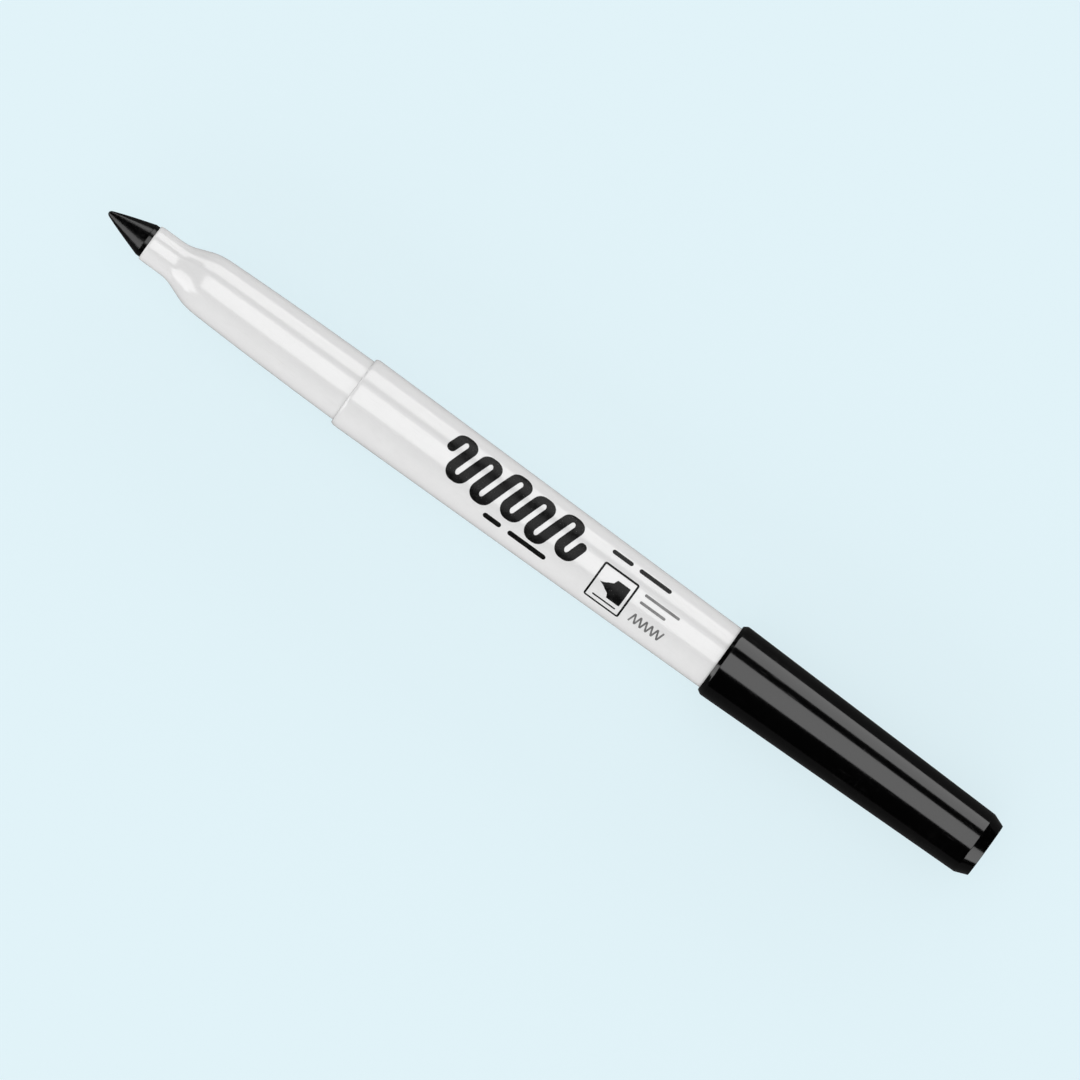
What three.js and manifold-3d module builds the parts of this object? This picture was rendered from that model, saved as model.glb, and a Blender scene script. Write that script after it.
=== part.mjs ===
// A slim whiteboard marker with its cap posted on the rear of the barrel, lying on a surface.
// Millimetres, +Z up. +X runs along the marker's axis from the nib to the closed end of the cap. The origin is
// under the middle of the marker's length, on the surface that it lies on, and the printed side faces up.
// A pen piece is drawn at its distance behind the tip of the nib, and a cap piece at its depth inside the mouth.
import * as THREE from "three";
import { mergeVertices } from "three/addons/utils/BufferGeometryUtils.js";
import Module from "manifold-3d";

const wasm = await Module();
wasm.setup();

// Driving dimensions
const POSTED_LENGTH = 150;
const CAP_LENGTH = 45.3;
const FACETS = 24; // sides of every turned piece, with a flat side down
const TUBE_FACETS = 12; // sides of the breather tube
const ARC_STEPS = 4; // steps of a curve, and half the steps of a round edge
const PRESS_GAP = 0.03; // between two pieces that are pressed together

// Stations along the axis, from the tip of the nib
const COLLAR_FRONT = 7.05;
const FLARE_FRONT = 10.8;
const SHOULDER = 18;
const BARREL_FRONT = 41.9;
const SPIGOT_REAR = 52;
const RESERVOIR_FRONT = 22;
const RESERVOIR_REAR = 112;
const BARREL_REAR = 120.7;
const CAP_MOUTH = POSTED_LENGTH - CAP_LENGTH;

// Radii
const NIB_RADIUS = 2.5;
const NIB_SHANK_RADIUS = 2.25;
const NIB_TAIL_RADIUS = 1.55;
const NIB_TIP_RADIUS = 0.4;
const COLLAR_RADIUS = 2.79;
const SHOULDER_RADIUS = 4.48;
const SECTION_RADIUS = 4.93;
const SECTION_BORE_RADIUS = 4.15;
const BARREL_FRONT_RADIUS = 5.52;
const BARREL_REAR_RADIUS = 4.87;
const SOCKET_RADIUS = 4.74; // the barrel's bore round the nose section's spigot
const PLUG_SEAT_RADIUS = 4.12; // the barrel's bore round the end plug
const RESERVOIR_RADIUS = 3.85;
const WRAP_RADIUS = 4.0;
const BREATHER_RADIUS = 0.55;
const CAP_MOUTH_RADIUS = 5.77;
const CAP_END_RADIUS = 4.87;
const CAP_FACE_RADIUS = 4.15;
const LINER_BORE_RADIUS = 3.0;
const LINER_SEAL_RADIUS = COLLAR_RADIUS + 0.05; // a bead that seals on the collar when the cap is on the nib

const AXIS_HEIGHT = CAP_MOUTH_RADIUS * Math.cos(Math.PI / FACETS);

const whitePlastic = new THREE.MeshStandardMaterial({ color: 0xe6e6e6, roughness: 0.25, metalness: 0 });
const blackPlastic = new THREE.MeshStandardMaterial({ color: 0x0c0c0c, roughness: 0.15, metalness: 0 });
const naturalPlastic = new THREE.MeshStandardMaterial({ color: 0xd9dcd8, roughness: 0.45, metalness: 0 });
const nibFibre = new THREE.MeshStandardMaterial({ color: 0x111111, roughness: 0.5, metalness: 0 });
const inkedFibre = new THREE.MeshStandardMaterial({ color: 0x1b1b1d, roughness: 0.9, metalness: 0 });
const clearFilm = new THREE.MeshStandardMaterial({ color: 0xdfe3e4, roughness: 0.2, metalness: 0 });

// An outline in (radius, station): out along the front, back along the outside, and forward again along the inside.
function outline(radius, station) {
  return new THREE.Path().moveTo(radius, station);
}

// A round edge, as a quarter of an ellipse: from the front face to the side, or from the side to the rear face.
function frontEdge(path, sideRadius, front, axial, radial) {
  path.absellipse(sideRadius - radial, front + axial, radial, axial, -Math.PI / 2, 0, false);
}

function rearEdge(path, sideRadius, rear, axial, radial) {
  path.absellipse(sideRadius - radial, rear - axial, radial, axial, 0, Math.PI / 2, false);
}

// The solid that an outline turns into round the X axis.
function turned(path, facets = FACETS) {
  const points = path.getPoints(ARC_STEPS);
  return new THREE.LatheGeometry(points, facets, Math.PI / facets).rotateZ(-Math.PI / 2);
}

function closed(path) {
  path.closePath();
  return path;
}

function asSolid(geometry) {
  const bare = geometry.clone();
  bare.deleteAttribute("normal");
  bare.deleteAttribute("uv");
  const merged = mergeVertices(bare);
  const vertProperties = merged.attributes.position.array;
  const triVerts = new Uint32Array(merged.index.array);
  return new wasm.Manifold(new wasm.Mesh({ numProp: 3, vertProperties, triVerts }));
}

function asGeometry(solid) {
  const { vertProperties, triVerts } = solid.getMesh();
  const geometry = new THREE.BufferGeometry();
  geometry.setAttribute("position", new THREE.BufferAttribute(vertProperties, 3));
  geometry.setIndex(new THREE.BufferAttribute(triVerts, 1));
  return geometry;
}

// Flat ribs along the axis, spaced evenly round it, joined to a turned piece.
function withRibs(geometry, count, thickness, inner, outer, front, rear) {
  let solid = asSolid(geometry);
  for (let i = 0; i < count; i++) {
    const rib = new THREE.BoxGeometry(rear - front, thickness, outer - inner);
    rib.translate((front + rear) / 2, 0, (inner + outer) / 2);
    rib.rotateX((2 * Math.PI * (i + 0.5)) / count);
    solid = solid.add(asSolid(rib));
  }
  return asGeometry(solid);
}

function piece(name, geometry, material) {
  const mesh = new THREE.Mesh(geometry, material);
  mesh.name = name;
  return mesh;
}

// The nib is ground from a rod of bonded fibre: a slightly bulging point with a round tip and a narrow land, a
// shank that fills the collar, and a tail that draws ink from the reservoir.
function nib() {
  const pointAngle = 0.4; // between the point's side and the axis, just behind the round tip
  const base = COLLAR_FRONT - PRESS_GAP;
  const landFront = base - 0.5;
  const tailFront = 14;
  const tailRear = 30.5;
  const chamfer = 0.5;
  const path = outline(0, 0);
  path.absarc(0, NIB_TIP_RADIUS, NIB_TIP_RADIUS, -Math.PI / 2, -pointAngle, false);
  path.quadraticCurveTo(1.23, 2.4, NIB_RADIUS - 0.07, landFront);
  path.lineTo(NIB_RADIUS, landFront + 0.12);
  path.lineTo(NIB_RADIUS, base);
  path.lineTo(NIB_SHANK_RADIUS, base);
  path.lineTo(NIB_SHANK_RADIUS, tailFront - 1);
  path.lineTo(NIB_TAIL_RADIUS, tailFront);
  path.lineTo(NIB_TAIL_RADIUS, tailRear - chamfer);
  path.lineTo(NIB_TAIL_RADIUS - chamfer, tailRear);
  path.lineTo(0, tailRear);
  return piece("nib", turned(path), nibFibre);
}

// The nose section grips the nib in its collar, flares out to the diameter that the cap goes on, and is pressed
// into the barrel by a ribbed spigot. Four fins inside the flare stop the reservoir and leave room for air.
function noseSection() {
  const nibBore = NIB_SHANK_RADIUS + PRESS_GAP;
  const spigotRadius = SOCKET_RADIUS - 2 * PRESS_GAP;
  const ribRadius = SOCKET_RADIUS - PRESS_GAP;
  const stop = BARREL_FRONT - PRESS_GAP;
  const path = outline(nibBore, COLLAR_FRONT);
  frontEdge(path, COLLAR_RADIUS, COLLAR_FRONT, 0.45, 0.24);
  path.lineTo(COLLAR_RADIUS, FLARE_FRONT);
  path.quadraticCurveTo(COLLAR_RADIUS, 11.77, 3.16, 12.74);
  path.lineTo(3.92, 14.75);
  path.quadraticCurveTo(4.42, 16.08, SHOULDER_RADIUS, SHOULDER);
  path.quadraticCurveTo(4.86, 29, SECTION_RADIUS, stop);
  path.lineTo(spigotRadius, stop);
  for (const ribFront of [44, 48]) {
    path.lineTo(spigotRadius, ribFront);
    path.lineTo(ribRadius, ribFront + 0.3);
    path.lineTo(ribRadius, ribFront + 0.9);
    path.lineTo(spigotRadius, ribFront + 1.2);
  }
  path.lineTo(spigotRadius, SPIGOT_REAR - 0.5);
  path.lineTo(spigotRadius - 0.25, SPIGOT_REAR);
  path.lineTo(SECTION_BORE_RADIUS, SPIGOT_REAR);
  path.lineTo(SECTION_BORE_RADIUS, 21.5);
  path.lineTo(3.75, SHOULDER + 0.5);
  path.lineTo(2.95, 14.8);
  path.lineTo(nibBore, 12.9);
  const shell = turned(closed(path));
  const finned = withRibs(shell, 4, 0.7, 2.75, SECTION_BORE_RADIUS + 0.1, 16.6, RESERVOIR_FRONT - 0.2);
  return piece("nose_section", finned, whitePlastic);
}

// The barrel is one tapered tube with a soft front edge. Six ribs in its bore hold the reservoir off the wall.
function barrel() {
  const wall = 0.9;
  const boreFront = SPIGOT_REAR + 1;
  const boreRear = RESERVOIR_REAR - 0.8;
  const edge = 0.5;
  const ribInner = WRAP_RADIUS + 0.1;
  const path = outline(SOCKET_RADIUS, BARREL_FRONT);
  frontEdge(path, BARREL_FRONT_RADIUS, BARREL_FRONT, 1.6, 0.4);
  path.lineTo(BARREL_REAR_RADIUS, BARREL_REAR - edge);
  rearEdge(path, BARREL_REAR_RADIUS, BARREL_REAR, edge, edge);
  path.lineTo(PLUG_SEAT_RADIUS + 0.08, BARREL_REAR);
  path.lineTo(PLUG_SEAT_RADIUS, BARREL_REAR - 0.3);
  path.lineTo(PLUG_SEAT_RADIUS, boreRear + 0.6);
  path.lineTo(BARREL_REAR_RADIUS - wall + 0.26, boreRear);
  path.lineTo(BARREL_FRONT_RADIUS - wall - 0.08, boreFront + 0.4);
  path.lineTo(SOCKET_RADIUS, boreFront);
  const tube = turned(closed(path));
  const ribbed = withRibs(tube, 6, 0.6, ribInner, BARREL_REAR_RADIUS - 0.3, boreFront + 3, boreRear - 1.5);
  return piece("barrel", ribbed, whitePlastic);
}

// The end plug is a cup that opens forward, with two sealing ribs and a flange outside the barrel's rear edge.
function endPlug() {
  const front = RESERVOIR_REAR + 0.4;
  const flangeFront = BARREL_REAR + PRESS_GAP;
  const rear = BARREL_REAR + 1;
  const skirtRadius = PLUG_SEAT_RADIUS - 2 * PRESS_GAP;
  const ribRadius = PLUG_SEAT_RADIUS - PRESS_GAP;
  const flangeRadius = 4.35;
  const path = outline(3.2, front);
  path.lineTo(skirtRadius - 0.3, front);
  path.lineTo(skirtRadius, front + 0.8);
  for (const ribFront of [front + 2, front + 5]) {
    path.lineTo(skirtRadius, ribFront);
    path.lineTo(ribRadius, ribFront + 0.2);
    path.lineTo(ribRadius, ribFront + 0.7);
    path.lineTo(skirtRadius, ribFront + 0.9);
  }
  path.lineTo(skirtRadius, flangeFront);
  path.lineTo(flangeRadius, flangeFront);
  rearEdge(path, flangeRadius, rear, 0.3, 0.3);
  path.lineTo(0, rear);
  path.lineTo(0, flangeFront - 0.8);
  path.lineTo(3, flangeFront - 0.8);
  path.lineTo(3.2, flangeFront - 1);
  return piece("end_plug", turned(closed(path)), blackPlastic);
}

// The reservoir is a rod of inked fibre, with a hole for the nib's tail and a groove for the breather tube.
const BREATHER_HEIGHT = 3.2;
function reservoirCore() {
  const tailHole = NIB_TAIL_RADIUS + 0.05;
  const holeDepth = 31;
  const path = outline(tailHole, RESERVOIR_FRONT);
  path.lineTo(RESERVOIR_RADIUS, RESERVOIR_FRONT);
  path.lineTo(RESERVOIR_RADIUS, RESERVOIR_REAR);
  path.lineTo(0, RESERVOIR_REAR);
  path.lineTo(0, holeDepth);
  path.lineTo(tailHole, holeDepth);
  const rod = turned(closed(path));
  const grooveRadius = BREATHER_RADIUS + 0.06;
  const length = RESERVOIR_REAR - RESERVOIR_FRONT + 2;
  const middle = (RESERVOIR_REAR + RESERVOIR_FRONT) / 2;
  const floor = new THREE.CylinderGeometry(grooveRadius, grooveRadius, length, TUBE_FACETS);
  floor.rotateZ(Math.PI / 2).translate(middle, 0, BREATHER_HEIGHT);
  const mouth = new THREE.BoxGeometry(length, 2 * grooveRadius, 2);
  mouth.translate(middle, 0, BREATHER_HEIGHT + 1);
  const groove = asSolid(floor).add(asSolid(mouth));
  return piece("reservoir_core", asGeometry(asSolid(rod).subtract(groove)), inkedFibre);
}

// The film is wrapped round the fibre rod and the breather tube, and is open at both ends.
function reservoirWrap() {
  const inner = RESERVOIR_RADIUS + PRESS_GAP;
  const path = outline(inner, RESERVOIR_FRONT + 0.5);
  path.lineTo(WRAP_RADIUS, RESERVOIR_FRONT + 0.5);
  path.lineTo(WRAP_RADIUS, RESERVOIR_REAR - 0.5);
  path.lineTo(inner, RESERVOIR_REAR - 0.5);
  return piece("reservoir_wrap", turned(closed(path)), clearFilm);
}

// The breather tube lets air past the ink to the rear of the barrel.
function breatherTube() {
  const path = outline(0.32, RESERVOIR_FRONT + 0.3);
  path.lineTo(BREATHER_RADIUS, RESERVOIR_FRONT + 0.3);
  path.lineTo(BREATHER_RADIUS, RESERVOIR_REAR - 0.2);
  path.lineTo(0.32, RESERVOIR_REAR - 0.2);
  const tube = piece("breather_tube", turned(closed(path), TUBE_FACETS), naturalPlastic);
  tube.position.z = BREATHER_HEIGHT;
  return tube;
}

// The cap is a tapered shell with a rounded mouth and a bevelled closed end. A low bead inside the mouth grips
// the barrel when the cap is posted, and the nose section when it covers the nib.
function capShell() {
  const endWall = 1.1;
  const bevelFront = CAP_LENGTH - 1.85;
  const inside = CAP_LENGTH - endWall;
  const path = outline(5.22, 0);
  frontEdge(path, CAP_MOUTH_RADIUS, 0, 0.8, 0.36);
  path.lineTo(CAP_END_RADIUS, bevelFront);
  path.lineTo(CAP_FACE_RADIUS, CAP_LENGTH);
  path.lineTo(0, CAP_LENGTH);
  path.lineTo(0, inside);
  path.lineTo(4.05, inside);
  path.lineTo(4.24, inside - 0.3);
  path.lineTo(4.55, 28);
  path.lineTo(4.63, 24);
  path.lineTo(4.92, 16);
  path.lineTo(5.04, 4);
  path.quadraticCurveTo(4.95, 3, 5.05, 2);
  path.lineTo(5.07, 0.5);
  return piece("cap_shell", turned(closed(path)), blackPlastic);
}

// The inner cap is a soft cup that seals round the collar. Its front flange and rear disc locate it in the cap.
const LINER_FRONT = 29.3;
function innerCap() {
  const rear = CAP_LENGTH - 1.2;
  const tubeRadius = 3.55;
  const path = outline(3.9, LINER_FRONT);
  path.lineTo(4.46, LINER_FRONT);
  path.lineTo(4.44, LINER_FRONT + 1.1);
  path.lineTo(tubeRadius, LINER_FRONT + 1.1);
  path.lineTo(tubeRadius, rear - 1.1);
  path.lineTo(4.18, rear - 1.1);
  path.lineTo(4.02, rear);
  path.lineTo(0, rear);
  path.lineTo(0, rear - 0.8);
  path.lineTo(2.7, rear - 0.8);
  path.lineTo(LINER_BORE_RADIUS, rear - 1.2);
  path.lineTo(LINER_BORE_RADIUS, LINER_FRONT + 2.9);
  path.lineTo(LINER_SEAL_RADIUS, LINER_FRONT + 2.5);
  path.lineTo(LINER_SEAL_RADIUS, LINER_FRONT + 1.7);
  return piece("inner_cap", turned(closed(path)), naturalPlastic);
}

const pen = new THREE.Group();
pen.add(nib(), noseSection(), barrel(), endPlug(), reservoirCore(), reservoirWrap(), breatherTube());

const cap = new THREE.Group();
cap.position.x = CAP_MOUTH;
cap.add(capShell(), innerCap());

const marker = new THREE.Group();
marker.position.set(-POSTED_LENGTH / 2, 0, AXIS_HEIGHT);
marker.add(pen, cap);

export default marker;
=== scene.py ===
"""The surfaces, print and studio of a whiteboard marker that lies on a table with its cap posted.

Each turned piece is a profile carried round the marker's axis, and each printed mark is a flat ink film
carried along a line on the barrel. Lengths in the outlines are millimetres: a pen piece is drawn at its
station behind the tip of the nib, and a cap piece at its depth inside the cap's mouth. Blender's own
lengths are metres.
"""

import math

import bpy
import numpy as np
from bpy.props import FloatProperty, FloatVectorProperty, IntProperty, PointerProperty
from bpy.types import Operator, Panel, PropertyGroup
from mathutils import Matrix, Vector


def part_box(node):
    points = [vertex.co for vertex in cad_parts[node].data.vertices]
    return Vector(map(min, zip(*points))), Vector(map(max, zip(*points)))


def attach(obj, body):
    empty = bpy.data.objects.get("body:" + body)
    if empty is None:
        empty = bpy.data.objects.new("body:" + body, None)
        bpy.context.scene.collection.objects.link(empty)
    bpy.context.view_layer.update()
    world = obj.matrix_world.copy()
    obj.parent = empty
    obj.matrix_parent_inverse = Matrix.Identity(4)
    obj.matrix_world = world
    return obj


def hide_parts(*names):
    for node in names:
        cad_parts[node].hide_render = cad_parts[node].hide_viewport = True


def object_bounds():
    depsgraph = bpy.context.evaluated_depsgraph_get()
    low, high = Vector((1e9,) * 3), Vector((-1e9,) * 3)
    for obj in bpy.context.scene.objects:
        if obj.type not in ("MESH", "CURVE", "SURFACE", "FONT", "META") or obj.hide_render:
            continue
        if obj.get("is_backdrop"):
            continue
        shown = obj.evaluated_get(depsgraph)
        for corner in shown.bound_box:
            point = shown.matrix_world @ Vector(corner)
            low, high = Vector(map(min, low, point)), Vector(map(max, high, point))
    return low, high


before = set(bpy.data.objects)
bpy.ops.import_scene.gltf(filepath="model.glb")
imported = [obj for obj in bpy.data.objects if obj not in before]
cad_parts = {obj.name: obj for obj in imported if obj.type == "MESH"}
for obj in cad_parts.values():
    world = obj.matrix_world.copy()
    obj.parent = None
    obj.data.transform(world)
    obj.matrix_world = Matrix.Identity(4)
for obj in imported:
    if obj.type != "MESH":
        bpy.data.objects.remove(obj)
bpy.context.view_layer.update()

bl_info = {
    "name": "Whiteboard Marker",
    "version": (1, 0, 0),
    "blender": (4, 5, 0),
    "location": "View3D > Sidebar > Marker",
    "description": "Builds the pieces, print and studio of a whiteboard marker with its cap posted",
    "category": "Add Mesh",
}

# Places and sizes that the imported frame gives
MM = 0.001
FACET_SHARE = math.cos(math.pi / 24)  # a packed turned piece has 24 flat sides inside its nominal radius
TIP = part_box("nib")[0].x
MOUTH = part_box("cap_shell")[0].x
AXIS_HEIGHT = sum(corner.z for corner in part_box("cap_shell")) / 2


def span(node, origin):
    """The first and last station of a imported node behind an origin, in millimetres."""
    low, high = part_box(node)
    return (low.x - origin) / MM, (high.x - origin) / MM


def nominal_radius(node):
    """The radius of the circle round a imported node's flat sides, in millimetres."""
    low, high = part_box(node)
    return (high.y - low.y) / 2 / FACET_SHARE / MM


COLLAR_FRONT, SPIGOT_REAR = span("nose_section", TIP)
BARREL_FRONT, BARREL_REAR = span("barrel", TIP)
PLUG_FRONT, PLUG_REAR = span("end_plug", TIP)
RESERVOIR_FRONT, RESERVOIR_REAR = span("reservoir_core", TIP)
WRAP_FRONT, WRAP_REAR = span("reservoir_wrap", TIP)
BREATHER_FRONT, BREATHER_REAR = span("breather_tube", TIP)
NIB_TAIL_REAR = span("nib", TIP)[1]
CAP_LENGTH = span("cap_shell", MOUTH)[1]
LINER_FRONT, LINER_REAR = span("inner_cap", MOUTH)
BREATHER_HEIGHT = (sum(corner.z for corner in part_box("breather_tube")) / 2 - AXIS_HEIGHT) / MM

# Sizes of single features, in millimetres
PRESS_GAP = 0.03
COLLAR_RADIUS = 2.79
SOCKET_RADIUS = 4.74
PLUG_SEAT_RADIUS = 4.12
NIB_SHANK_RADIUS = 2.25
NIB_TAIL_RADIUS = 1.55
BARREL_EDGE = 0.95  # length of the barrel's rounded front edge
PRINT_SINK = 0.01  # how far an ink film is bedded in the barrel
SUPPORT = 0.05  # a narrow strip beside each rounded edge that keeps the long faces' shading straight
TIGHT = 0.6  # a corner that is cut back less than this is an edge that wears
SAME_POINT = 1e-6  # points of an outline that are closer than this are one
NO_LENGTH = 1e-12  # keeps a division by a side without length harmless

# Meshes
WELD_DECIMALS = 9  # points that agree to so many decimals of a metre are joined
SMOOTH_ANGLE = math.radians(40)  # edges that turn more than this are sharp

# Finishes
SCUFF_DEPTH = 0.3  # depth of a scuff, where 1 is the range of the moulded skin's waves
SCUFF_TINT = 0.6  # share of the worn colour in a scuff

# Studio
FLOOR_GLOW = 0.85  # share of the floor's paleness that is its own light
FLOOR_SHADE = 0.2  # share that the studio lights, with less than full light, so shadows are faint
FLOOR_TO_MATT = 0.42  # paleness of the floor to matt surfaces
FLOOR_TO_GLOSS = 0.09  # paleness of the floor in reflections
DARK_AROUND = 0.006  # radiance of the background in reflections
FADE_START = 0.2  # distance from the middle at which the floor begins to fade out, in metres
FADE_END = 0.55  # distance at which the floor is gone, in metres
END_PANEL = 0.28  # radiance of the low panels off the ends, as a share of the other panels'
FILL_BEHIND = 1.47  # radiance of the fill behind the marker, as a share of the one in front


class MarkerSizes(PropertyGroup):
    """Sizes of the pieces that a user would change."""

    barrel_front: FloatProperty(
        name="Barrel front",
        description="Diameter of the barrel just behind its front edge",
        default=2 * nominal_radius("barrel") * MM,
        unit="LENGTH",
        precision=5,
    )
    barrel_rear: FloatProperty(
        name="Barrel rear",
        description="Diameter of the barrel at its rear edge",
        default=9.74 * MM,
        unit="LENGTH",
        precision=5,
    )
    section_rear: FloatProperty(
        name="Nose section",
        description="Diameter of the nose section where it meets the barrel",
        default=2 * 4.93 * MM,
        unit="LENGTH",
        precision=5,
    )
    cap_mouth: FloatProperty(
        name="Cap mouth",
        description="Diameter of the cap just behind its mouth",
        default=2 * nominal_radius("cap_shell") * MM,
        unit="LENGTH",
        precision=5,
    )
    cap_end: FloatProperty(
        name="Cap end",
        description="Diameter of the cap in front of its end bevel",
        default=9.74 * MM,
        unit="LENGTH",
        precision=5,
    )
    ink_film: FloatProperty(
        name="Ink film",
        description="Thickness of the printed ink",
        default=0.02 * MM,
        unit="LENGTH",
        precision=6,
    )
    sides: IntProperty(
        name="Sides",
        description="Number of sides of a turned piece",
        default=192,
        min=24,
        max=512,
    )


class MarkerColours(PropertyGroup):
    """Colours of the marker's finishes."""

    body: FloatVectorProperty(
        name="Body",
        description="Colour of the barrel and the nose section",
        subtype="COLOR",
        default=(0.80, 0.80, 0.80),
        min=0,
        max=1,
    )
    cap: FloatVectorProperty(
        name="Cap",
        description="Colour of the cap and the end plug, which is the ink's colour",
        subtype="COLOR",
        default=(0.0005, 0.0005, 0.00055),
        min=0,
        max=1,
    )
    print_ink: FloatVectorProperty(
        name="Print",
        description="Colour of the bold print on the barrel",
        subtype="COLOR",
        default=(0.004, 0.004, 0.004),
        min=0,
        max=1,
    )
    pale_print: FloatVectorProperty(
        name="Pale print",
        description="Colour of the thin print on the barrel",
        subtype="COLOR",
        default=(0.14, 0.14, 0.14),
        min=0,
        max=1,
    )
    ink: FloatVectorProperty(
        name="Ink",
        description="Colour of the ink that soaks the nib and the reservoir",
        subtype="COLOR",
        default=(0.0008, 0.0008, 0.0009),
        min=0,
        max=1,
    )
    natural: FloatVectorProperty(
        name="Uncoloured plastic",
        description="Colour of the inner cap and the breather tube",
        subtype="COLOR",
        default=(0.66, 0.68, 0.64),
        min=0,
        max=1,
    )


class MarkerStudio(PropertyGroup):
    """The floor, the lights and the camera."""

    floor: FloatVectorProperty(
        name="Floor",
        description="Colour of the floor",
        subtype="COLOR",
        default=(0.725, 0.860, 0.905),
        min=0,
        max=1,
    )
    surround: FloatProperty(
        name="Surround",
        description="Radiance of the even light from all round, which matt surfaces see",
        default=0.735,
        min=0,
    )
    fill: FloatProperty(
        name="Fill",
        description="Radiance of the low lights on both sides, which matt surfaces see",
        default=2.05,
        min=0,
    )
    mirrored: FloatProperty(
        name="Mirrored panels",
        description="Radiance of the panels that glossy surfaces mirror",
        default=2.85,
        min=0,
    )
    lens: FloatProperty(
        name="Lens",
        description="Focal length of the camera",
        default=800.0,
        min=20,
        subtype="DISTANCE_CAMERA",
    )
    view_width: FloatProperty(
        name="View width",
        description="Width of the camera's view at the height of the marker's axis",
        default=149.38 * MM,
        unit="LENGTH",
    )
    turn: FloatProperty(
        name="Turn",
        description="How far the camera is turned about the vertical",
        default=math.radians(36.07),
        subtype="ANGLE",
    )


# Shapes


def both_cuts(corner):
    """A corner as (a, b, cut before, cut after), where it gives no cut or one for both."""
    if len(corner) == 2:
        return (*corner, 0.0, 0.0)
    if len(corner) == 3:
        return (*corner, corner[2])
    return corner


def rounded(corners, closed=False, steps=8):
    """The line through corners, with each corner softened.

    A corner is (a, b), (a, b, cut) or (a, b, cut before, cut after). Between the points that lie the
    cuts' lengths before and after the corner, the line is the parabola (1-t)^2 start + 2t(1-t) corner +
    t^2 end. A support point follows a little outside each end of the parabola. Returns an array of
    points, and how far each is an edge that wears: 4t(1-t) times the turn's sine on a tight corner, and 0
    elsewhere.
    """
    full = np.array([both_cuts(corner) for corner in corners], float)
    point = full[:, :2]
    cuts = full[:, 2:]
    if not closed:
        cuts[[0, -1]] = 0.0
    to_last = np.roll(point, 1, axis=0) - point
    to_next = np.roll(point, -1, axis=0) - point
    to_last /= np.maximum(np.linalg.norm(to_last, axis=1, keepdims=True), NO_LENGTH)
    to_next /= np.maximum(np.linalg.norm(to_next, axis=1, keepdims=True), NO_LENGTH)
    start = point + cuts[:, :1] * to_last
    end = point + cuts[:, 1:] * to_next
    t = np.linspace(0, 1, steps + 1)[:, None]
    bend = (1 - t) ** 2 * start[:, None] + 2 * t * (1 - t) * point[:, None] + t**2 * end[:, None]
    lead = start + SUPPORT * to_last * (cuts[:, :1] > SUPPORT)
    tail = end + SUPPORT * to_next * (cuts[:, 1:] > SUPPORT)
    line = np.concatenate([lead[:, None], bend, tail[:, None]], axis=1).reshape(-1, 2)
    sine = np.abs(to_last[:, 0] * to_next[:, 1] - to_last[:, 1] * to_next[:, 0])
    turn = sine * (cuts.max(axis=1) < TIGHT)
    edge = np.pad(4 * t.T * (1 - t.T) * turn[:, None], ((0, 0), (1, 1))).reshape(-1)
    apart = np.concatenate([[True], np.linalg.norm(np.diff(line, axis=0), axis=1) > SAME_POINT])
    return line[apart], edge[apart]


def round_the_axis(x, radius, angle, origin, edge=0.0):
    """Points at stations x, radii and angles round the axis, counted from the top towards -Y, with their
    share of worn edge."""
    across = -radius * np.sin(angle) * MM
    height = AXIS_HEIGHT + radius * np.cos(angle) * MM
    return np.stack([origin + x * MM, across, height, np.broadcast_to(edge, height.shape)], axis=-1)


def surface(name, grids, material, body, closed=False):
    """One mesh object from grids of points, each rows by columns by four: the place, and the share of
    worn edge.

    Columns join round. Rows join round where closed is true, and otherwise the first and the last row are
    each one point repeated, so that every grid makes a closed surface.
    """
    faces = []
    count = 0
    for grid in grids:
        index = np.arange(grid.shape[0] * grid.shape[1]).reshape(grid.shape[:2]) + count
        count += index.size
        here = index if closed else index[:-1]
        ahead = np.roll(index, -1, axis=0) if closed else index[1:]
        corners = [here, np.roll(here, -1, 1), np.roll(ahead, -1, 1), ahead]
        faces.append(np.stack(corners, axis=-1).reshape(-1, 4))
    rows = np.concatenate([grid.reshape(-1, 4) for grid in grids])
    points, first, weld = np.unique(
        np.round(rows[:, :3], WELD_DECIMALS), axis=0, return_index=True, return_inverse=True
    )
    quads = weld.reshape(-1)[np.concatenate(faces)]
    front_point = quads[:, 0] == quads[:, 1]
    rear_point = quads[:, 2] == quads[:, 3]
    triangles = [quads[front_point & ~rear_point][:, 1:], quads[rear_point & ~front_point][:, :3]]
    whole = quads[~front_point & ~rear_point]
    mesh = bpy.data.meshes.new(name)
    mesh.from_pydata(points, [], whole.tolist() + triangles[0].tolist() + triangles[1].tolist())
    mesh.shade_smooth()
    mesh.set_sharp_from_angle(angle=SMOOTH_ANGLE)
    mesh.attributes.new("edge", "FLOAT", "POINT").data.foreach_set("value", rows[first, 3])
    mesh.materials.append(material)
    piece = bpy.data.objects.new(name, mesh)
    bpy.context.scene.collection.objects.link(piece)
    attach(piece, body)
    return piece


def turned_grid(outline, origin, closed=False, shape=None, sides=None):
    """The grid of a turned piece: the rounded outline (station, radius) carried round the axis.

    shape, if given, takes the stations, radii and angles of the whole grid and returns its radii, which
    is how ribs, fins and grooves are added.
    """
    profile, edge = rounded(outline, closed)
    angle = np.linspace(0, 2 * math.pi, sides or bpy.context.scene.marker_sizes.sides, endpoint=False)
    x, angle = np.meshgrid(profile[:, 0], angle, indexing="ij")
    radius = np.repeat(profile[:, 1:], angle.shape[1], axis=1)
    if shape:
        radius = shape(x, radius, angle)
    return round_the_axis(x, radius, angle, origin, edge[:, None])


def smooth_step(value, low, high):
    """0 below low, 1 above high, and 3t^2 - 2t^3 between them."""
    t = np.clip((value - low) / (high - low), 0, 1)
    return t * t * (3 - 2 * t)


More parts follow.
